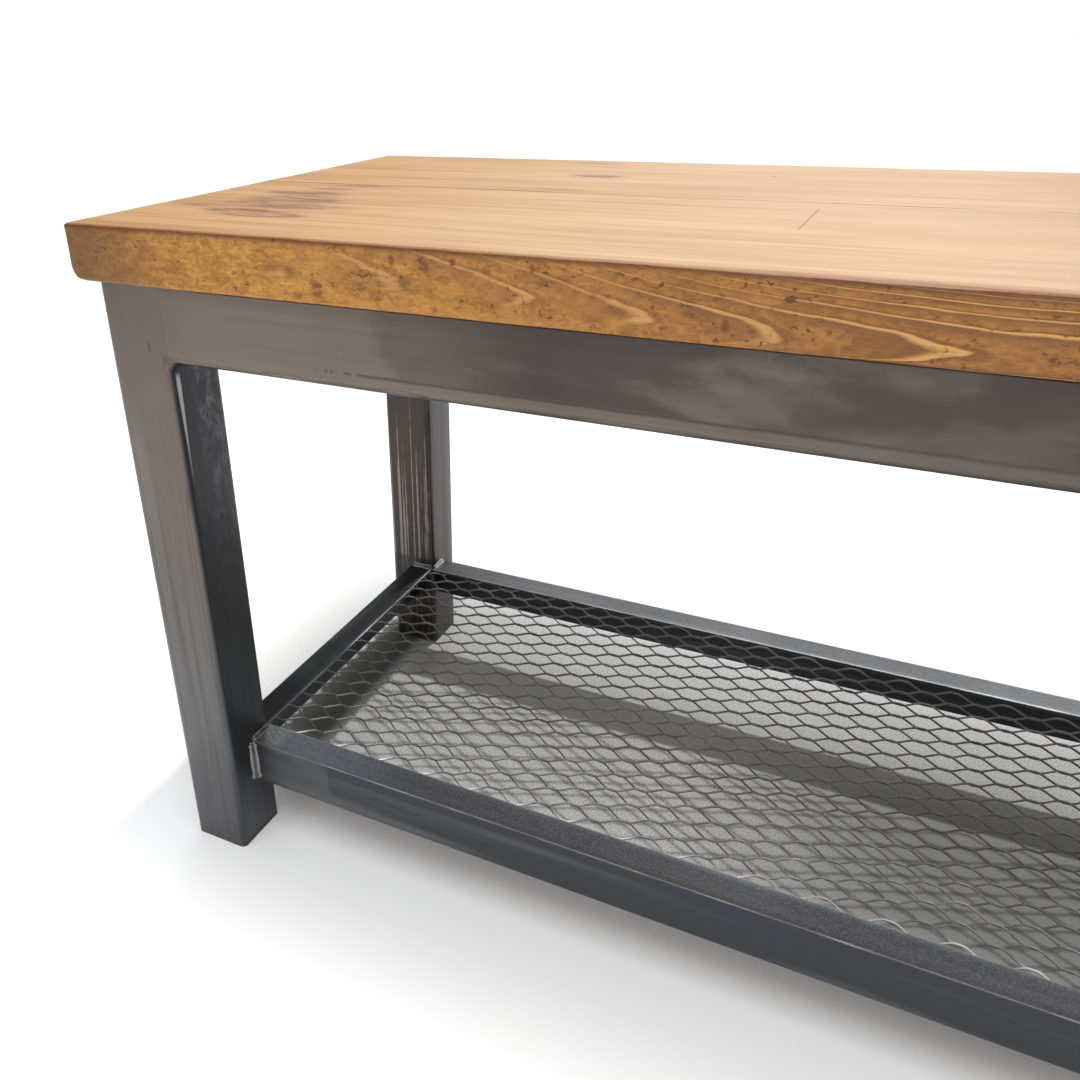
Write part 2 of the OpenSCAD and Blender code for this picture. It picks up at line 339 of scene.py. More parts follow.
def steel_material(name, along, tones, dark, light, streaks=0.3, blotches=0.3, speckle=0.1,
                   rim=0.35, edge=0.15, rough=(0.36, 0.46)):
    """Lacquered mill-finish steel, rolled along one axis. Its X, Y and Z faces can each get their own tone,
    as painted light and shade.
    """
    s = Shader(name, Metallic=0.8, Specular_IOR_Level=0.5, Coat_Weight=0.15, Coat_Roughness=0.25)
    x, z, n_z = s.x, s.z, s.facing("z")
    wear = s.attribute("wear")

    def scale(length, across):
        return tuple(length if axis == along else across for axis in "xyz")

    line = s.noise(scale(1.6, 260.0), 3, 0.5)
    drag = s.noise(scale(2.5, 60.0), 3, 0.5, 0.2)
    cloud = s.noise(7, 3, 0.5, 0.4)
    grain = s.noise(1100, 2, 0.5)
    blotch = s.noise(scale(26.0, 60.0), 4, 0.62, 0.6)

    # the ground corners of the frame are plain, so the leg and the apron read as one
    lively = 1.0 - s.span(abs(x), 0.36, 0.42) * s.span(z, 0.35, 0.41)
    # painted light and shade: each face gets the tone of the way it faces
    base = s.mix(s.span(abs(s.facing("x")), 0.5, 0.9), tones[1], tones[0])
    base = s.mix(s.span(abs(n_z), 0.5, 0.9), base, tones[2])
    base = s.mix(s.span(cloud, 0.35, 0.65, 0.0, 0.35), base, dark)
    base = s.mix(lively * s.span(drag, 0.48, 0.72, 0.0, streaks), base, light)
    base = s.mix(lively * s.span(line, 0.48, 0.68, 0.0, 0.8 * streaks), base, dark)
    base = s.mix(lively * s.span(blotch, 0.52, 0.70, 0.0, blotches), base, dark)
    base = s.mix(s.span(x, -0.47, -0.39, 0.3, 0.0), base, s.mix(0.5, dark, rgb(54, 47, 42)))
    base = s.mix(s.span(grain, 0.40, 0.70, 0.0, 0.12), base, dark)
    base = s.mix(s.fall(grain, 0.36, 0.56) * s.span(n_z, 0.5, 0.9, 0.0, speckle), base, light)
    beside_edge = s.span(wear, 0.03, 0.16) * s.fall(wear, 0.30, 0.60)
    base = s.mix(beside_edge * rim, base, rgb(44, 40, 38))
    # the crowns of rounded edges are lighter: some wear, and a painted highlight, strongest on the shelf
    # angles
    crown = s.span(wear, 0.45, 0.95) * s.span(blotch, 0.3, 0.6, 0.4, 1.0)
    base = s.mix(crown * edge, base, light)
    height = blotch * lively * 0.2 + (line * lively * 0.30 + grain * 0.12)
    gloss = s.span(cloud * 0.5 + drag * 0.5, 0.35, 0.65, *rough)
    return s, base, gloss, s.bump(height, 0.12 * MM, 0.5)


def plain_steel(*args, **look):
    s, base, rough, normal = steel_material(*args, **look)
    return s.finish(base, rough, normal)


def apron_steel(name, **look):
    """The long apron tube: mottled mill scale to the right, where it is also darker as a painted reflection
    of shade, and a dark drawn line low on its face.
    """
    s, base, rough, normal = steel_material(name, "x", blotches=0.15, **look)
    x, z = s.x, s.z
    patch = s.noise((9, 30, 30), 3, 0.5, 0.4)
    ragged = s.noise((40, 70, 70), 4, 0.6, 0.3)
    reach = s.span(x, -0.30, -0.25, 0.66, s.span(x, -0.14, -0.06, 0.28, 0.40))
    mill_scale = s.span(patch * 0.72 + ragged * 0.28, reach, reach + 0.18)
    above = s.span(z, DRAWN_LINE - 0.7 * MM, DRAWN_LINE + 2 * MM)
    base = s.mix(mill_scale * (above * s.span(x, -0.26, -0.17, 0.35, 0.8)), base, rgb(50, 42, 43))
    # darker to the right: mill scale, and a painted reflection of the shaded floor
    base = s.mix(s.span(x, -0.33, 0.1, 0.0, 0.6), base, rgb(66, 61, 57))
    from_line = abs(z - (ragged * (1.6 * MM) + (DRAWN_LINE - 0.8 * MM)))
    dots = s.noise((190, 3, 3), 2, 0.5)
    dashes = s.span(dots, s.span(x, -0.296, -0.276, 0.50, 0.10), s.span(x, -0.296, -0.276, 0.58, 0.40))
    drawn = s.fall(from_line, 0.1 * MM, 1.7 * MM) * dashes * s.span(x, -0.322, -0.312)
    base = s.mix(drawn * s.span(x, -0.1, 0.1, 0.55, 0.3), base, rgb(36, 29, 31))
    return s.finish(base, rough, normal)


def front_leg_steel(name, **look):
    """A front leg: warm grey at the top and cooler below.

    Its inner face has mill scale, a pale strip and painted shade towards its top, and its front a small dark
    mark.
    """
    s, base, rough, normal = steel_material(name, "z", blotches=0.15, **look)
    x, y, z, n_x = s.x, s.y, s.z, s.facing("x")
    inner = s.fall(n_x * x, -0.40, -0.30)
    base = s.mix(s.span(z, 0.10, 0.38, 0.75, 0.0), base, rgb(82, 85, 89))
    # painted shade on the inner face, darker towards the top
    base = s.mix(inner * s.span(z, 0.30, 0.40, 0.1, 0.65), base, rgb(26, 27, 31))
    lines = s.noise((170, 170, 3), 4, 0.6)
    base = s.mix(s.span(lines, 0.48, 0.66) * s.span(z, 0.20, 0.38, 0.55, 0.0), base, rgb(56, 56, 57))
    patches = s.span(s.noise((50, 50, 24), 3, 0.6, shift=(0.3, 0.2, 0.1)), 0.36, 0.62)
    mill_scale = s.span(s.noise((210, 210, 90), 5, 0.75, 0.3), 0.42, 0.68) * patches
    mill_scale = mill_scale * s.span(z, 0.20, 0.36, 0.1, 1.0)
    mill_scale = mill_scale * s.span(y, LEG_FRONT_Y + 14 * MM, LEG_FRONT_Y + 26 * MM, 0.2, 1.0)
    base = s.mix(mill_scale * inner, base, rgb(90, 91, 96))
    half_strip = s.span(z, 0.35, 0.405, 0.9 * MM, 2.4 * MM)
    strip = s.fall(abs(y - STRIP_Y) / half_strip, 0.5, 1.0) * s.span(z, 0.325, 0.375)
    strip = strip * s.fall(z, APRON_BOTTOM - 12 * MM, APRON_BOTTOM - 6 * MM)
    base = s.mix(strip * s.span(n_x, 0.5, 0.9, 0.0, 0.7), base, rgb(170, 173, 176))
    from_mark = abs(x + (lines * (1.5 * MM) - MARK_X))
    mark = s.fall(from_mark, 0.3 * MM, 1.2 * MM) * s.span(abs(z - MARK_Z), 1 * MM, 5 * MM, 0.7, 0.0)
    base = s.mix(mark, base, rgb(52, 44, 40))
    return s.finish(base, rough, normal)


def rear_leg_steel(name, **look):
    """A rear leg: its front face is painted dark as shade, with pale rolling streaks up from the shelf."""
    s, base, rough, normal = steel_material(name, "z", rim=0.5, **look)
    z = s.z
    front = s.fall(s.facing("y"), -0.95, -0.6)
    # painted shade on the front face
    base = s.mix(front * 0.85, base, rgb(52, 46, 43))
    lines = s.noise((330, 330, 2.2), 2, 0.5)
    broken = s.noise((160, 160, 60), 3, 0.6)
    more = s.span(z, 0.14, 0.42, 0.36, 0.22)
    pale = s.span(broken * 0.18 + lines, 0.98 - more, 1.06 - more) * s.span(z, 0.102, 0.108, 0.25, 1.0)
    base = s.mix(pale * front * 0.6, base, rgb(150, 143, 132))
    return s.finish(base, rough, normal)


def front_angle_steel(name, **look):
    """The front angle: by the left leg its web is paler, up to a sharp edge, and its flat is ground rough."""
    s, base, rough, normal = steel_material(name, "x", **look)
    smear = s.noise((14, 60, 60), 4, 0.6, 0.5)
    web = s.fall(s.facing("y"), -0.9, -0.6) * s.fall(s.x, PALE_WEB_END - 1 * MM, PALE_WEB_END)
    base = s.mix(web * s.span(smear, 0.3, 0.6, 0.2, 0.6), base, rgb(86, 89, 88))
    flat = s.span(s.facing("z"), 0.6, 0.9) * s.fall(s.x, -0.418, -0.404)
    rubbed = s.noise(420, 3, 0.6)
    base = s.mix(flat * s.span(rubbed, 0.4, 0.6, 0.1, 0.7), base, rgb(168, 168, 166))
    return s.finish(base, rough, normal)


def side_angle_steel(name, **look):
    """The side angles: nearly black as painted shade, and paler over part of the flat."""
    s, base, rough, normal = steel_material(name, "y", **look)
    smear = s.noise((60, 16, 60), 4, 0.6, 0.5)
    patch = s.span(s.facing("z"), 0.6, 0.9) * s.fall(abs(s.y - PALE_FLAT_Y), 8 * MM, 50 * MM)
    base = s.mix(patch * s.span(smear, 0.3, 0.6, 0.3, 0.8), base, rgb(70, 72, 76))
    return s.finish(base, rough, normal)


def mesh_steel(name, **look):
    """The expanded metal. Its first strands are bright where they meet the front angle, partly ground and
    partly a painted highlight.
    """
    s, base, rough, normal = steel_material(name, "x", **look)
    # the first strands are painted bright: grinding and a painted highlight
    tips = s.fall(s.y, -0.1455, -0.1395) * s.span(s.x, 0.15, 0.3, 0.75, 0.4)
    base = s.mix(tips, base, rgb(214, 211, 206))
    return s.finish(base, rough, normal)


def weld_material():
    """Brushed weld metal with heat tint in its hollows. Its toes and ripple crests carry a painted highlight,
    brighter on the beads by the rear legs.
    """
    s = Shader("weld_metal", Metallic=0.9, Specular_IOR_Level=0.5)
    fine = s.noise(700, 4, 0.6)
    patch = s.noise(90, 4, 0.6, 0.5)
    rear = s.span(s.y, LEG_REAR_Y + 1 * MM, LEG_REAR_Y + 4 * MM)
    base = s.mix(s.span(patch, 0.35, 0.65), rgb(54, 55, 57), rgb(100, 99, 99))
    # painted highlight on the crests, stronger by the rear legs
    crest = s.span(s.attribute("wear"), s.span(rear, 0.0, 1.0, 0.3, -0.3), 0.8)
    base = s.mix(crest * s.span(rear, 0.0, 1.0, 0.3, 0.9), base, rgb(222, 221, 220))
    base = s.mix(s.span(patch, 0.62, 0.78, 0.0, 0.25), base, rgb(112, 84, 64))
    rough = s.span(patch, 0.3, 0.7, 0.26, 0.44)
    return s.finish(base, rough, s.bump(fine * 0.4 + patch, 0.4 * MM, 0.6))


def zinc_material():
    """Bright zinc plating with a faint blue and yellow cast."""
    s = Shader("zinc_plate", Metallic=1.0, Specular_IOR_Level=0.5)
    patch = s.noise(160, 4, 0.6, 0.4)
    fine = s.noise(1500, 3, 0.5)
    base = s.mix(s.span(patch, 0.35, 0.65), rgb(172, 176, 182), rgb(200, 196, 180))
    base = s.mix(s.span(fine, 0.45, 0.7, 0.0, 0.3), base, rgb(130, 132, 136))
    rough = s.span(patch, 0.3, 0.7, 0.25, 0.42)
    return s.finish(base, rough, s.bump(fine, 0.08 * MM, 0.5))


# where the marks on the steel and the timber are
APRON_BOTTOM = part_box("apron_front")[0].z
LEG_FRONT_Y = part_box("leg_front_left")[0].y
LEG_REAR_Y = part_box("leg_rear_left")[0].y
DRAWN_LINE = APRON_BOTTOM + 10.2 * MM
STRIP_Y = LEG_FRONT_Y + 6.6 * MM
MARK_X, MARK_Z = -449 * MM, 430 * MM
SCRATCH_X = -74 * MM
PALE_WEB_END = -361.2 * MM
PALE_FLAT_Y = -52 * MM

# the tubes' dark X faces and paler Y and Z faces are painted shade and light
TUBE_LOOK = dict(
    tones=(rgb(46, 48, 53), rgb(103, 93, 84), rgb(90, 84, 80)),
    dark=rgb(76, 70, 65), light=rgb(146, 141, 135))
REAR_FACE_SHADES = (rgb(56, 57, 63), rgb(104, 95, 88), rgb(96, 90, 86))
TUBE_X = apron_steel("frame_steel_x", **TUBE_LOOK)
TUBE_Y = plain_steel("frame_steel_y", "y", **TUBE_LOOK)
TUBE_FRONT = front_leg_steel("frame_steel_front", **TUBE_LOOK)
TUBE_REAR = rear_leg_steel("frame_steel_rear", **dict(TUBE_LOOK, tones=REAR_FACE_SHADES))

# the shelf angles are one steel in lit and shaded copies: painted shade on the webs, painted light and
# reflection on the front and rear flats, and the side flats painted nearly black as shade
ANGLE_WEB_SHADE = rgb(56, 60, 65)
ANGLE_LOOK = dict(
    dark=rgb(58, 60, 65), light=rgb(178, 180, 184), streaks=0.15, blotches=0.15, rim=0.0, edge=1.0)
SIDE_LOOK = dict(ANGLE_LOOK, dark=rgb(27, 28, 32))
ANGLE_FRONT = front_angle_steel(
    "shelf_steel_front", tones=(ANGLE_WEB_SHADE, ANGLE_WEB_SHADE, rgb(119, 124, 133)),
    speckle=0.3, rough=(0.38, 0.5), **ANGLE_LOOK)
ANGLE_REAR = plain_steel(
    "shelf_steel_rear", "x", tones=(ANGLE_WEB_SHADE, ANGLE_WEB_SHADE, rgb(90, 92, 96)),
    speckle=0.12, rough=(0.46, 0.58), **ANGLE_LOOK)
ANGLE_SIDE = side_angle_steel(
    "shelf_steel_side", tones=(ANGLE_WEB_SHADE, ANGLE_WEB_SHADE, rgb(25, 26, 30)),
    speckle=0.02, rough=(0.38, 0.5), **SIDE_LOOK)
MESH_STEEL = mesh_steel(
    "mesh_steel", tones=(rgb(116, 115, 114),) * 3, dark=rgb(74, 74, 76), light=rgb(205, 200, 196))
CLEAT_STEEL = plain_steel(
    "cleat_steel", "y", tones=(rgb(88, 88, 90),) * 3, dark=rgb(64, 64, 66), light=rgb(128, 128, 130))
WELD = weld_material()
ZINC = zinc_material()


# ---------------------------------------------------------------- timber seat

BOARD_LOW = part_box("seat_board_front")[0]
JOINT_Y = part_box("seat_board_front")[1].y
END_LOW_RADIUS = 10 * MM
END_TOP_RADIUS = 2.2 * MM
LOW_RADIUS = 2.5 * MM
JOINT_RADIUS = 1.0 * MM


def box_skin(xs, ys, zs):
    """Points and quads of the closed skin of a box that is cut at these stations."""
    grid = np.stack(np.meshgrid(xs, ys, zs, indexing="ij"), -1)
    skin = np.zeros(grid.shape[:3], bool)
    skin[[0, -1]] = skin[:, [0, -1]] = skin[:, :, [0, -1]] = True
    index = -np.ones(skin.shape, int)
    index[skin] = np.arange(skin.sum())
    quads = []
    for axis in range(3):
        for side in (0, -1):
            layer = np.moveaxis(index, axis, 0)[side]
            quad = np.stack([layer[:-1, :-1], layer[1:, :-1], layer[1:, 1:], layer[:-1, 1:]], -1)
            quad = quad.reshape(-1, 4)
            quads.append(quad[:, ::-1] if (side == 0) != (axis == 1) else quad)
    return grid[skin], np.concatenate(quads)


def round_edge(points, low, high, first, second, side_first, side_second, radius):
    """Rounds one edge of a box: the corner seen along the third axis, on these sides of two axes."""
    def beyond(axis, side):
        edge = high[axis] if side > 0 else low[axis]
        return side * (points[:, axis] - edge) + radius
    u, v = beyond(first, side_first), beyond(second, side_second)
    inside = (u > 0) & (v > 0)
    share = np.where(inside, np.maximum(u, v) / np.maximum(np.hypot(u, v), 1e-12), 1.0)
    for axis, side, reach in ((first, side_first, u), (second, side_second, v)):
        points[:, axis] += np.where(inside, side * reach * (share - 1), 0.0)


RING_WIDTH = 3.2 * MM
FIRST_TIP_X = -335 * MM


def from_pith(p):
    """How far each point of the front board lies across and above its pith, which is near its front face."""
    x, y, z = p.T
    depth = 0.83 * RING_WIDTH + 0.048 * np.clip(x - FIRST_TIP_X, 0, 0.36) + 0.006 * np.maximum(x - 0.025, 0)
    flatness = 0.2 + 0.8 * smoothstep(FIRST_TIP_X, 0.0, x)
    tip_height = 485 * MM - 7 * MM * smoothstep(-0.25, -0.05, x)
    return y - BOARD_LOW.y + depth, (z - tip_height) * flatness


def ring_front(p):
    """Growth rings of the front board, counted outwards from its pith."""
    across, up = from_pith(p)
    waver = 0.16 * smooth_noise(p, (0.11, 0.05, 0.04), 3) + 0.07 * smooth_noise(p, (0.035, 0.02, 0.012), 4)
    return np.hypot(across, up) / RING_WIDTH + waver


def arcs_front(p):
    """How clearly the rings show: at the left of the front face, only in crescents near their tips."""
    across, up = from_pith(p)
    turn = np.arctan2(up, across)
    crescent = smoothstep(-0.30, 0.0, turn) * (1 - 0.9 * smoothstep(0.45, 1.1, turn))
    crescent *= smoothstep(-0.37, -0.335, p[:, 0]) * (0.75 + 0.25 * smooth_noise(p, (0.03, 0.02, 0.01), 7))
    clear = smoothstep(-0.13, 0.03, p[:, 0])
    on_face = p[:, 1] < BOARD_LOW.y + 3 * MM
    return np.where(on_face, crescent + (1 - crescent) * clear, 1.0)


def ring_rear(p):
    """Growth rings of the rear board, whose pith lies under it."""
    x, y, z = p.T
    radius = np.hypot(y - 0.115 - 0.02 * x, z - 0.43 - 0.045 * x)
    waver = 0.5 * smooth_noise(p, (0.14, 0.04, 0.03), 5) + 0.16 * smooth_noise(p, (0.04, 0.02, 0.012), 6)
    return radius / (4.2 * MM) + waver


# knots and stained streaks on the seat: x, y, half length, half width in mm, and strength
KNOTS = [
    (-398, -137, 32, 10, 1.0), (-425, -128, 26, 8, 0.6), (-408, -108, 30, 9, 0.5), (-414, -74, 36, 15, 1.0),
    (-436, -96, 22, 9, 0.5), (-424, -44, 30, 9, 1.0), (-418, -20, 26, 7, 0.5), (-411, 2, 28, 6, 0.6),
    (-465, -114, 22, 6, 0.6), (-375, -100, 26, 9, 0.4), (-254, 100, 20, 7, 1.0), (-283, 184, 26, 8, 0.5),
    (-128, 131, 3, 2, 0.9), (240, -60, 26, 9, 0.6), (330, 120, 18, 7, 0.7), (-252, 22, 30, 5, 0.4),
]
# small dark marks on the front face: x, z, half length, half height in mm, and strength
FRONT_KNOTS = [
    (-312, 479, 3.2, 5, 1.0), (-272, 478, 1.3, 4, 0.7), (-238, 478, 1.5, 6, 0.8), (-222, 480, 1.3, 4, 0.6),
    (-243, 497, 1.3, 4, 0.8), (-226, 499, 1.3, 4, 0.7), (-207, 497, 1.5, 4, 0.8), (-182, 499, 1.4, 4, 0.6),
    (-263, 498, 1.3, 4, 0.7), (-150, 487, 2, 3, 0.4), (-305, 473, 3, 1.4, 0.8), (-86, 480, 1.5, 4, 0.6),
]


def knots_at(p):
    """How much knot there is at each point, from 0 to 1."""
    total = np.zeros(len(p))
    for x, y, length, width, strength in KNOTS:
        reach = ((p[:, 0] - x * MM) / (length * MM)) ** 2 + ((p[:, 1] - y * MM) / (width * MM)) ** 2
        total += strength * np.exp(-reach) * smoothstep(0.480, 0.500, p[:, 2])
    ragged = 1 + 0.8 * smooth_noise(p, 2.4 * MM, 8)
    for x, z, length, height, strength in FRONT_KNOTS:
        reach = ((p[:, 0] - x * MM) / (length * MM)) ** 2 + ((p[:, 2] - z * MM) / (height * MM)) ** 2
        total += strength * np.exp(-reach * ragged) * (p[:, 1] < BOARD_LOW.y + 4 * MM)
    return np.minimum(total, 1)


def board(name, node, rings, arcs, material, front):
    """A board with worn arrises, raised growth rings and dished knots."""
    low, high = (np.array(corner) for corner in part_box(node))
    xs = stations(low[0], high[0], 2.6 * MM, 11 * MM, 1.1 * MM)
    ys = stations(low[1], high[1], 3.2 * MM, 6 * MM, 0.75 * MM)
    zs = stations(low[2], high[2], 1.0 * MM, 6 * MM, 0.75 * MM)
    points, quads = box_skin(xs, ys, zs)
    flat = points.copy()
    ends = smooth_noise(flat * (1, 1, 0), 0.05, 11)
    for side in (-1, 1):
        round_edge(points, low, high, 0, 2, side, -1, END_LOW_RADIUS + 0.8 * MM * ends)
        round_edge(points, low, high, 0, 2, side, 1, END_TOP_RADIUS + 0.8 * MM * ends)
    along = smooth_noise(flat * (1, 0, 0), 0.045, 12) + 0.5 * smooth_noise(flat * (1, 0, 0), 0.013, 13)
    outer = 2.4 * MM + 2.2 * MM * smoothstep(-0.25, 0.05, flat[:, 0]) + 0.7 * MM * along
    joint = JOINT_RADIUS + 0.45 * MM * along
    outer_side = -1 if front else 1
    round_edge(points, low, high, 1, 2, outer_side, 1, outer)
    round_edge(points, low, high, 1, 2, outer_side, -1, LOW_RADIUS + 0.4 * MM * along)
    round_edge(points, low, high, 1, 2, -outer_side, 1, joint)
    round_edge(points, low, high, 1, 2, -outer_side, -1, joint)

    normals = quad_normals(points, quads)
    ring, arc, knot = rings(points), arcs(points), knots_at(points)
    crest = 0.5 - 0.5 * np.cos(2 * math.pi * (ring - 0.38))
    side_share = np.clip(-normals[:, 1] if front else normals[:, 1], 0, 1)
    arris = np.exp(-((points[:, 1] - low[1]) ** 2 + (points[:, 2] - high[2]) ** 2) / (6 * MM) ** 2)
    relief = (0.08 * MM + 0.36 * MM * side_share) * arc * (1 - 0.7 * arris)
    depth = relief * (1 - crest ** 2)
    depth += 0.10 * MM * (1 + smooth_noise(points, (0.06, 0.03, 0.02), 14))
    pores = 1 + smooth_noise(points, (0.012, 0.012, 0.007), 15)
    depth += side_share * (1 - 0.6 * arris) * 0.22 * MM * pores
    depth += knot * 0.35 * MM * (1 + 0.6 * smooth_noise(points, (0.02, 0.004, 0.004), 16))
    chips = smoothstep(0.45, 0.9, smooth_noise(points, (0.04, 0.01, 0.006), 17))
    depth += arris * chips * 0.4 * MM
    points -= normals * depth[:, None]

    outer_edge = flat[:, 1] - low[1] if front else high[1] - flat[:, 1]
    inward = np.minimum.reduce([flat[:, 0] - low[0], high[0] - flat[:, 0], outer_edge])
    below = np.where(flat[:, 2] > high[2] - 0.01 * MM, -inward, high[2] - flat[:, 2]) / MM
    make_piece(name, points, quads, material, "timber", [node], sharp=60,
               ring=ring, arc=arc, knot=knot, below=below)


def arcs_rear(p):
    """The rings of the rear board show all over."""
    return np.ones(len(p))


board("board_front", "seat_board_front", ring_front, arcs_front,
      timber_material("timber_front", (0.0, 0.0, 0.0)), True)
board("board_rear", "seat_board_rear", ring_rear, arcs_rear,
      timber_material("timber_rear", (3.1, 1.7, 0.6)), False)


# ---------------------------------------------------------------- square tube

TUBE_WALL = 3 * MM
TUBE_RADIUS = 5 * MM
UPPER_RADIUS = 1.6 * MM
LEAST_RADIUS = 0.08 * MM
CORNER_STEPS = 7
FLAT_STEPS = 5
SIDES_X = (("left", -1), ("right", 1))
SIDES_Y = (("front", -1), ("rear", 1))


def square_ring(half, radii):
    """A rounded square of half width half, anticlockwise, with a radius for each corner.

    Its points come with how near a corner each is, and a tight corner doesn't count.
    """
    ring, wear = [], []
    for quarter, radius in enumerate(radii):
        start = math.radians(90 * quarter)
        across = Vector((math.cos(start), math.sin(start)))
        up = Vector((-across.y, across.x))
        centre = (across + up) * (half - radius)
        for step in range(CORNER_STEPS):
            turn = math.radians(90) * step / (CORNER_STEPS - 1)
            ring.append(centre + across * radius * math.cos(turn) + up * radius * math.sin(turn))
            wear.append(math.sin(2 * turn) * float(smoothstep(UPPER_RADIUS, 4 * MM, radius)))
        following = radii[(quarter + 1) % 4]
        begin, end = half - radius, -(half - following)
        for step in range(1, FLAT_STEPS):
            reach = begin + (end - begin) * step / FLAT_STEPS
            ring.append(up * half + across * reach)
            wear.append(0.0)
    return ring, wear


def tube(name, node, axis, material, corners):
    """A length of square tube with an outer and an inner skin. corners(place) gives its four radii there."""
    low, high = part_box(node)
    centre = (low + high) / 2
    i = "xyz".index(axis)
    first, second = [k for k in range(3) if k != i]
    half = (high[first] - low[first]) / 2
    places = stations(low[i], high[i], 9 * MM, 12 * MM, 3 * MM)
    skins, wears = [], []
    for inset in (0.0, TUBE_WALL):
        rings = []
        for place in places:
            radii = [max(radius - inset, LEAST_RADIUS) for radius in corners(place)]
            shape, wear = square_ring(half - inset, radii)
            ring = np.zeros((len(shape), 3))
            ring[:, first] = [centre[first] + point.x for point in shape]
            ring[:, second] = [centre[second] + point.y for point in shape]
            ring[:, i] = place
            rings.append(ring)
            wears += wear if inset == 0 else [0.0] * len(wear)
        skins.append(np.array(rings))
    if i == 1:
        skins = [skin[:, ::-1] for skin in skins]
        wears = np.array(wears).reshape(2 * len(places), -1)[:, ::-1].ravel()
    outer, outer_faces = loft(skins[0], False)
    inner, inner_faces = loft(skins[1], False)
    size, count = skins[0].shape[1], len(outer)
    faces = [list(face) for face in outer_faces] + [[k + count for k in face[::-1]] for face in inner_faces]
    last = count - size
    for k in range(size):
        after = (k + 1) % size
        faces.append([k, k + count, after + count, after])
        faces.append([last + k, last + after, last + after + count, last + k + count])
    points = np.concatenate([outer, inner])
    ripple = 0.05 * MM * (1 + smooth_noise(points, 0.04, 21))
    ripple += 0.04 * MM * (1 + smooth_noise(points, 0.012, 22))
    centred = points.copy()
    centred[:, [first, second]] -= [centre[first], centre[second]]
    centred[:, i] = 0
    centred /= np.maximum(np.linalg.norm(centred, axis=1, keepdims=True), 1e-9)
    points[:count] -= (centred * ripple[:, None])[:count]
    # corner values for wear and for a painted highlight
    worn = np.asarray(wears) * smoothstep(-0.4, 0.6, smooth_noise(points, (0.02, 0.02, 0.05), 23))
    make_piece(name, points, faces, material, "frame_steel", [node], sharp=50, wear=worn)


GRIND_START = APRON_BOTTOM - 6 * MM
GRIND_END = APRON_BOTTOM + 5 * MM


def leg_corners(side_x, side_y):
    """Corner radii up a leg: the two outer corners that meet an apron are ground flush beside it."""
    order = [(1, 1), (-1, 1), (-1, -1), (1, -1)]
    ground = ((-side_x, side_y), (side_x, -side_y))

    def radii(place):
        flush = float(smoothstep(GRIND_START, GRIND_END, place))
        return [TUBE_RADIUS * (1 - flush) if corner in ground else TUBE_RADIUS for corner in order]
    return radii


def apron_corners(half_length, outer_corner):
    """Corner radii along an apron: its upper outer corner is tight, and filled square beside each leg."""
    def radii(place):
        free = float(smoothstep(6 * MM, 34 * MM, half_length - abs(place)))
        return [UPPER_RADIUS * free if corner == outer_corner else TUBE_RADIUS for corner in range(4)]
    return radii


for word_y, side_y in SIDES_Y:
    for word_x, side_x in SIDES_X:
        leg = f"leg_{word_y}_{word_x}"
        tube(f"tube_{leg}", leg, "z", TUBE_FRONT if side_y < 0 else TUBE_REAR, leg_corners(side_x, side_y))
half_x, half_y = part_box("apron_front")[1].x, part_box("apron_left")[1].y
tube("tube_apron_front", "apron_front", "x", TUBE_X, apron_corners(half_x, 1))
tube("tube_apron_rear", "apron_rear", "x", TUBE_X, apron_corners(half_x, 0))
tube("tube_apron_left", "apron_left", "y", TUBE_Y, apron_corners(half_y, 1))
tube("tube_apron_right", "apron_right", "y", TUBE_Y, apron_corners(half_y, 0))


# ---------------------------------------------------------------- ground corners under the aprons

FILLET_RADIUS = 7 * MM
FILLET_STEPS = 10
ROUND_STEPS = 6


def ground_corner():
    """One ground weld in its own axes: leg at low u, apron above at high w, and v runs through the tube."""
    low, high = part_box("apron_front")
    depth = high.y - low.y
    front = []
    for step in range(ROUND_STEPS + 1):
        turn = math.radians(90) * step / ROUND_STEPS
        front.append((FILLET_RADIUS + TUBE_RADIUS * (1 - math.sin(turn)), TUBE_RADIUS * (1 - math.cos(turn))))
    back = [(r, depth - v) for r, v in front[::-1]]
    rings = []
    for step in range(FILLET_STEPS + 1):
        turn = math.radians(90) * step / FILLET_STEPS
        out = (FILLET_RADIUS + TUBE_RADIUS) / max(math.cos(turn), math.sin(turn))
        outline = [(out, 0.0)] + front + back + [(out, depth)]
        rings.append([(FILLET_RADIUS - r * math.cos(turn), v, -FILLET_RADIUS + r * math.sin(turn))
                      for r, v in outline])
    return loft(rings)


def add_ground_corners():
    local, faces = ground_corner()
    local = local - [0, 0, 0.02 * MM]
    welds = Parts()
    for word_y, side_y in SIDES_Y:
        for word_x, side_x in SIDES_X:
            low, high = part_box(f"leg_{word_y}_{word_x}")
            inner_x = high.x if side_x < 0 else low.x
            inner_y = high.y if side_y < 0 else low.y
            outer_x = low.x if side_x < 0 else high.x
            outer_y = low.y if side_y < 0 else high.y
            u, v, w = local.T
            long_way = np.stack([inner_x - side_x * u, outer_y - side_y * v, APRON_BOTTOM + w], -1)
            short_way = np.stack([outer_x - side_x * v, inner_y - side_y * u, APRON_BOTTOM + w], -1)
            turned = [face[::-1] for face in faces]
            welds.add(long_way, turned if side_x * side_y > 0 else faces)
            welds.add(short_way, turned if side_x * side_y < 0 else faces)
    points = welds.all_points()
    make_piece("ground_corners", points, welds.faces, TUBE_X, "weld_steel", ["corner_welds"], sharp=50,
               wear=0.3 + 0.3 * smooth_noise(points, 0.01, 31))


add_ground_corners()


# ---------------------------------------------------------------- angle iron of the shelf

ANGLE_THICK = 4 * MM
ROOT_RADIUS = 4 * MM
TOE_RADIUS = 1.8 * MM
HEEL_RADIUS = 1.1 * MM
SHARP_RADIUS = 0.7 * MM
SHELF_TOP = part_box("shelf_angle_front")[1].z


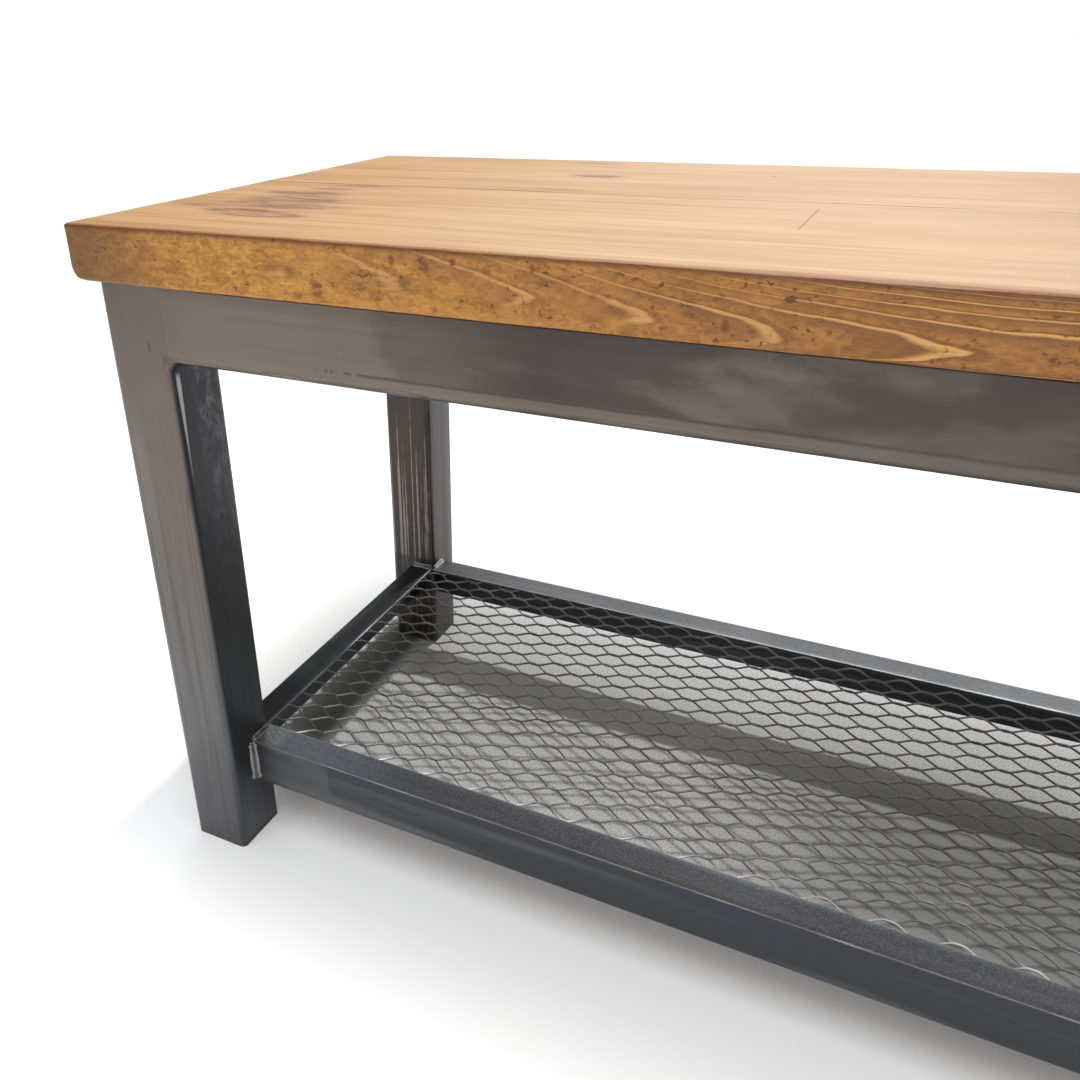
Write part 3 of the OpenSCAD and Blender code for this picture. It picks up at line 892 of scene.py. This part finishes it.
def rounded_path(corners, spacing):
    """A closed outline through (u, v, radius) corners, with its arcs and with points along its flats."""
    outline = []
    count = len(corners)
    for k in range(count):
        before, here, after = (Vector(corners[(k + d) % count][:2]) for d in (-1, 0, 1))
        radius = corners[k][2]
        start = here + (before - here).normalized() * radius
        end = here + (after - here).normalized() * radius
        steps = max(2, round(radius / (0.5 * MM)))
        for step in range(steps + 1):
            t = step / steps
            outline.append(start * (1 - t) ** 2 + here * 2 * t * (1 - t) + end * t ** 2)
        following = Vector(corners[(k + 1) % count][:2])
        target = following - (following - here).normalized() * corners[(k + 1) % count][2]
        pieces = max(1, round((target - end).length / spacing))
        for step in range(1, pieces):
            outline.append(end.lerp(target, step / pieces))
    return outline


def angle(name, node, axis, inward, material):
    """Rolled unequal angle: its flat is on top and points inward, and its web is outside."""
    low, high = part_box(node)
    i = "xyz".index(axis)
    other = 1 - i
    wide, tall = high[other] - low[other], high.z - low.z
    outer = low[other] if inward > 0 else high[other]
    corners = [
        (0, 0, HEEL_RADIUS), (0, -tall, SHARP_RADIUS), (ANGLE_THICK, -tall, TOE_RADIUS),
        (ANGLE_THICK, -ANGLE_THICK, ROOT_RADIUS), (wide, -ANGLE_THICK, TOE_RADIUS), (wide, 0, SHARP_RADIUS),
    ]
    outline = rounded_path(corners, 4.5 * MM)
    toe = Vector((wide, 0))
    from_edge = np.array([min(point.length, (point - toe).length) for point in outline])
    wear_profile = np.exp(-(from_edge / (1.5 * MM)) ** 2)
    rings = []
    for place in stations(low[i], high[i], 8 * MM, 6 * MM, 2 * MM):
        ring = np.zeros((len(outline), 3))
        ring[:, i] = place
        ring[:, other] = [outer + inward * point.x for point in outline]
        ring[:, 2] = [high.z + point.y for point in outline]
        rings.append(ring)
    points, faces = loft(rings)
    if (inward > 0) == (i == 1):
        faces = [face[::-1] for face in faces]
    # edge values for wear and for a painted highlight on the arrises
    wear = np.tile(wear_profile, len(rings)) * (0.85 + 0.15 * smooth_noise(points, 0.02, 41))
    points[:, 2] -= 0.05 * MM * (1 + smooth_noise(points, 0.05, 42))
    make_piece(name, points, faces, material, "shelf_steel", [node], sharp=50, wear=wear)


angle("angle_front", "shelf_angle_front", "x", 1, ANGLE_FRONT)
angle("angle_rear", "shelf_angle_rear", "x", -1, ANGLE_REAR)
angle("angle_left", "shelf_angle_left", "y", 1, ANGLE_SIDE)
angle("angle_right", "shelf_angle_right", "y", -1, ANGLE_SIDE)


# ---------------------------------------------------------------- weld beads of the shelf

RIPPLE_PITCH = 1.7 * MM
BEAD_STEP = 0.45 * MM
BEAD_ROOT = 0.6 * MM
ARC_STEPS = 8


def bead(parts, start, end, first, second, leg, seed):
    """A rippled fillet bead from start to end in the corner between the directions first and second."""
    start, end, first, second = (np.array(v, float) for v in (start, end, first, second))
    length = np.linalg.norm(end - start)
    count = max(8, int(length / BEAD_STEP))
    rings, values = [], []
    for step in range(count + 1):
        t = step / count
        along = t * length
        wander = smooth_noise(np.array([[along, seed * 0.13, 0.0]]), 6 * MM, seed)[0]
        ripple = 1 - ((along / RIPPLE_PITCH + 0.25 * wander) % 1.0)
        taper = min(1.0, 7 * t + 0.5, 7 * (1 - t) + 0.5)
        lump = 0.16 * math.exp(-((along - 5 * MM) / (2.5 * MM)) ** 2)
        size = leg * taper * (0.80 + 0.16 * wander + 0.08 * ripple + lump)
        centre = start + (end - start) * t
        outline, crest = [centre - BEAD_ROOT * (first + second)], [0.0]
        for k in range(ARC_STEPS + 1):
            turn = math.radians(90) * k / ARC_STEPS
            reach = size * (0.80 + 0.06 * ripple) / (math.cos(turn) + math.sin(turn)) * 1.18
            if k in (0, ARC_STEPS):
                reach = size
            outline.append(centre + reach * (math.cos(turn) * first + math.sin(turn) * second))
            # the toes and ripple crests get the values of a painted highlight
            toe = abs(math.cos(2 * turn)) ** 1.5
            crest.append((0.2 + 0.8 * toe) * (0.5 + 0.5 * ripple))
        rings.append(outline)
        values += crest
    points, faces = loft(rings)
    if np.dot(np.cross(first, second), end - start) < 0:
        faces = [face[::-1] for face in faces]
    parts.add(points, faces, values)


def add_shelf_welds():
    welds = Parts()
    seed = 50
    long_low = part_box("shelf_angle_front")[0]
    short_low, short_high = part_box("shelf_angle_left")
    low, high = long_low.z + 1 * MM, SHELF_TOP - 1 * MM
    for side_x in (-1, 1):
        for side_y in (-1, 1):
            face_x, face_y = side_x * abs(long_low.x), side_y * abs(short_low.y)
            web_y, web_x = side_y * abs(long_low.y), side_x * abs(short_low.x)
            inner_x = side_x * abs(short_high.x)
            to_centre_x, to_centre_y = (-side_x, 0, 0), (0, -side_y, 0)
            out_x, out_y, up = (side_x, 0, 0), (0, side_y, 0), (0, 0, 1)
            top_y = web_y - side_y * 1 * MM
            runs = [
                ((face_x, web_y, low), (face_x, web_y, high), to_centre_x, out_y, 5.5 * MM),
                ((face_x, top_y, SHELF_TOP), (face_x, face_y, SHELF_TOP), to_centre_x, up, 3.6 * MM),
                ((web_x, face_y, low), (web_x, face_y, high), out_x, to_centre_y, 5 * MM),
                ((web_x, face_y, SHELF_TOP), (inner_x, face_y, SHELF_TOP), to_centre_y, up, 4 * MM),
            ]
            for run in runs:
                seed += 1
                bead(welds, *run, seed)
    make_piece("shelf_beads", welds.all_points(), welds.faces, WELD, "weld_steel", ["shelf_welds"], sharp=70,
               wear=welds.all_values())


add_shelf_welds()


# ---------------------------------------------------------------- expanded metal

LONG_PITCH = 39.9 * MM
ROW_STEP = 9.15 * MM
STRAND_WIDE = 1.9 * MM
STRAND_THICK = 1.25 * MM
STRAND_TILT = math.radians(-56)
MESH_TURN = math.radians(-1.4)
MESH_START = (-213 * MM, -144 * MM)
MESH_ROWS = 32
MESH_LEVEL = 93 * MM
BOND_HALF = 3.0 * MM
BOND_ROUND = 1.6 * MM
RAIL_BITE = 0.9 * MM
FIRST_ROW_Y = -146.5 * MM
PULL_REACH = 90 * MM
FIRST_BOND, LAST_BOND = -14, 36


def strand_route(row):
    """Centre line of the zigzag strand between two rows of bonds, in the sheet's own axes."""
    half = LONG_PITCH / 2
    steps = np.array([0, 1.5 * MM, BOND_HALF, 4.2 * MM, 5.6 * MM, 7.6 * MM])
    steps = np.concatenate([steps, half - steps[::-1][:-1]])[:-1]
    steps = np.unique(np.concatenate([steps, [half / 2]]))
    route = []
    shift_y = STRAND_WIDE / 2 * math.cos(STRAND_TILT)
    shift_z = STRAND_WIDE / 2 * math.sin(STRAND_TILT)
    for bond in range(FIRST_BOND, LAST_BOND):
        rising = (bond + row) % 2 == 0
        for step in steps:
            t = float(smoothstep(BOND_HALF - BOND_ROUND, half - BOND_HALF + BOND_ROUND, step))
            lean = 0.7 * t + 0.3 * float(np.clip((step - BOND_HALF) / (half - 2 * BOND_HALF), 0, 1))
            share = lean if rising else 1 - lean
            y = row * ROW_STEP + shift_y + share * (ROW_STEP - 2 * shift_y)
            route.append((bond * half + step, y, shift_z * (1 - 2 * share)))
    return np.array(route)


def to_bench(route):
    """Turns the sheet onto the shelf, and pulls its first row against the front angle."""
    cos, sin = math.cos(MESH_TURN), math.sin(MESH_TURN)
    x = MESH_START[0] + route[:, 0] * cos - route[:, 1] * sin
    y = MESH_START[1] + route[:, 0] * sin + route[:, 1] * cos
    first_row = MESH_START[1] + (x - MESH_START[0]) * math.tan(MESH_TURN)
    gap = np.maximum(first_row - FIRST_ROW_Y, 0)
    y = y - gap * np.exp(-np.maximum(y - first_row, 0) / PULL_REACH)
    return np.stack([x, y, MESH_LEVEL + route[:, 2]], -1)


def add_mesh():
    """Strands from edge to edge of the opening in the shelf frame, and a little into its angles."""
    low_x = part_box("shelf_angle_left")[1].x - RAIL_BITE
    high_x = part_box("shelf_angle_right")[0].x + RAIL_BITE
    low_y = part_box("shelf_angle_front")[1].y - RAIL_BITE
    high_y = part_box("shelf_angle_rear")[0].y + RAIL_BITE
    wide = np.array([0, math.cos(STRAND_TILT), math.sin(STRAND_TILT)]) * STRAND_WIDE / 2 * 1.04
    thick = np.array([0, -math.sin(STRAND_TILT), math.cos(STRAND_TILT)]) * STRAND_THICK / 2
    outline = [(-1, -0.8), (-0.86, -1), (0.86, -1), (1, -0.8), (1, 0.8), (0.86, 1), (-0.86, 1), (-1, 0.8)]
    outline = np.array([a * wide + b * thick for a, b in outline])
    # crests of the strands, for a painted highlight
    crest = np.array([1, 0.4, 0, 0, 0, 0.1, 0.5, 1])
    strands = Parts()
    for row in range(MESH_ROWS):
        path = to_bench(strand_route(row))
        path[:, 1] += 0.18 * MM * smooth_noise(path, 9 * MM, 60)
        path[:, 2] += 0.22 * MM * smooth_noise(path, 14 * MM, 61)
        x, y = path[:, 0], path[:, 1]
        inside = (x > low_x) & (x < high_x) & (y > low_y) & (y < high_y)
        edges = np.flatnonzero(np.diff(np.concatenate([[0], inside.astype(int), [0]])))
        for begin, end in zip(edges[::2], edges[1::2]):
            if end - begin < 3:
                continue
            points, faces = loft(path[begin:end, None, :] + outline[None, :, :])
            strands.add(points, faces, np.tile(crest, end - begin))
    points = strands.all_points()
    wear = strands.all_values() * (0.7 + 0.3 * smooth_noise(points, 0.02, 62))
    make_piece("expanded_mesh", points, strands.faces, MESH_STEEL, "mesh_steel", ["shelf_mesh"], sharp=35,
               wear=wear)


add_mesh()


# ---------------------------------------------------------------- CAD pieces that stay

def dress(node, material):
    """Gives a CAD node that stays in view a better material."""
    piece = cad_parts[node]
    piece.data.materials.clear()
    piece.data.materials.append(material)


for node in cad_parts:
    if node.startswith("foot_plate"):
        dress(node, TUBE_X)
    elif node.startswith("seat_cleat"):
        dress(node, CLEAT_STEEL)
    elif node in ("cleat_screws", "screw_washers"):
        dress(node, ZINC)


# ---------------------------------------------------------------- floor, light and camera

WHITE = (1.0, 1.0, 1.0, 1.0)
FLOOR_HALF = 30.0
FLOOR_GLOW = 0.12
FRONT_GLOW = 3.2
SKY_COLOUR = (0.96, 0.98, 1.0, 1.0)
SKY_LEFT = 0.25
SKY_RIGHT = 0.22


def floor():
    """A wide pale floor that glows a little, which is painted light. Under the bench it is painted in shade,
    darker again under both ends of the shelf as painted shadow, as in the photo.
    """
    s = Shader("floor_pale", Specular_IOR_Level=0.2)
    x, y = s.x, s.y
    grain = s.noise(620, 3, 0.6)
    # painted shade on the floor under the bench
    under = s.fall(abs(x), 0.46, 0.66) * (s.span(y, -0.17, -0.03) * s.fall(y, 0.20, 0.36))
    open_floor = s.mix(s.span(grain, 0.35, 0.65), rgb(240, 240, 240), rgb(248, 248, 248))
    shaded = s.mix(s.span(grain, 0.35, 0.65), rgb(158, 160, 159), rgb(204, 206, 205))
    # painted shadow of the left angle, with a scalloped edge, darkest at the left
    wavy = s.math("SINE", y * (math.pi / ROW_STEP)) * (2.5 * MM) + x
    at_left = s.span(wavy, -0.506, -0.499, 0.0, 0.97) * s.fall(x, -0.462, -0.440)
    shadow = s.mix(s.span(x, -0.505, -0.455), rgb(22, 23, 19), rgb(62, 64, 56))
    shaded = s.mix(at_left * s.span(y, 0.15, 0.25, 1.0, 0.3), shaded, shadow)
    # painted shade under the right part of the shelf, weaker to the rear
    at_right = s.span(x, -0.16, 0.10, 0.0, 0.8) * s.span(y, 0.06, 0.16, 1.0, 0.25)
    shaded = s.mix(at_right, shaded, rgb(112, 114, 114))
    base = s.mix(under, open_floor, shaded)
    # painted light: the open floor glows, and more in front, where it lifts the seat's shadow
    glow = s.span(under, 0.0, 0.3, FLOOR_GLOW, 0.0) * s.span(y, -0.32, -0.19, FRONT_GLOW, 1.0)
    s.feed(s.surface.inputs["Emission Color"], WHITE)
    s.feed(s.surface.inputs["Emission Strength"], glow)

    mesh = bpy.data.meshes.new("floor")
    half = FLOOR_HALF
    corners = [(-half, -half, 0), (half, -half, 0), (half, half, 0), (-half, half, 0)]
    mesh.from_pydata(corners, [], [(0, 1, 2, 3)])
    mesh.materials.append(s.finish(base, 0.8, s.bump(grain, 0.3 * MM, 0.3)))
    ground = bpy.data.objects.new("floor", mesh)
    bpy.context.scene.collection.objects.link(ground)


def surroundings():
    """The camera sees white. Light comes from a pale sky that is dimmer to the left and right."""
    world = bpy.data.worlds.new("studio")
    bpy.context.scene.world = world
    world.use_nodes = True
    world.node_tree.nodes.clear()
    s = Nodes(world.node_tree)
    across = s.axes(s.out("ShaderNodeTexCoord", output="Generated"))[0]
    strength = s.span(across, 0.15, 0.80, 1.0, SKY_RIGHT) * s.span(across, -0.62, -0.22, SKY_LEFT, 1.0)
    sky = s.out("ShaderNodeBackground", {"Color": SKY_COLOUR, "Strength": strength})
    white = s.out("ShaderNodeBackground", {"Color": WHITE})
    seen = s.out("ShaderNodeLightPath", output="Is Camera Ray")
    s.node("ShaderNodeOutputWorld", {0: s.out("ShaderNodeMixShader", {0: seen, 1: sky, 2: white})})


def add_light(name, kind, **settings):
    """A light in the scene, whose object is returned to be placed."""
    light = bpy.data.lights.new(name, kind)
    for key, value in settings.items():
        setattr(light, key, value)
    lamp = bpy.data.objects.new(name, light)
    bpy.context.scene.collection.objects.link(lamp)
    return lamp


KEY_TOWARDS = (0.12, 0.67, 1.0)
KEY_SOFTNESS = math.radians(1.8)
KEY_COLOUR = (1.0, 0.98, 0.95)
TOP_PLACE = (0.0, -0.5, 2.4)
TOP_SIZE = 2.2


def lights():
    """A far key light from behind and above, and a broad soft light over the front of the bench."""
    key = add_light("key", "SUN", angle=KEY_SOFTNESS, energy=1.8, color=KEY_COLOUR)
    key.rotation_euler = Vector(KEY_TOWARDS).to_track_quat("Z", "Y").to_euler()
    top = add_light("top", "AREA", size=TOP_SIZE, energy=34.0)
    top.location = TOP_PLACE


SENSOR_WIDTH = 36.0
FOCAL_LENGTH = 32.27
LENS_SHIFT = (0.0965, 0.0058)
EYE = (0.00311, -0.65934, 0.59928)
EYE_TURN = math.radians(28.21)
EYE_DOWN = math.radians(27.40)
EYE_ROLL = math.radians(-1.72)


def camera():
    """The photograph's view: from the front, a little above the seat, looking to the left end."""
    lens = bpy.data.cameras.new("camera")
    lens.sensor_width, lens.lens = SENSOR_WIDTH, FOCAL_LENGTH
    lens.shift_x, lens.shift_y = LENS_SHIFT
    lens.clip_start, lens.clip_end = 0.02, 60.0
    eye = bpy.data.objects.new("camera", lens)
    aim = Euler((math.radians(90) - EYE_DOWN, 0, EYE_TURN)).to_matrix() @ Matrix.Rotation(EYE_ROLL, 3, "Z")
    eye.matrix_world = Matrix.Translation(EYE) @ aim.to_4x4()
    bpy.context.scene.collection.objects.link(eye)
    bpy.context.scene.camera = eye


floor()
surroundings()
lights()
camera()
bpy.context.scene.view_settings.view_transform = "Standard"
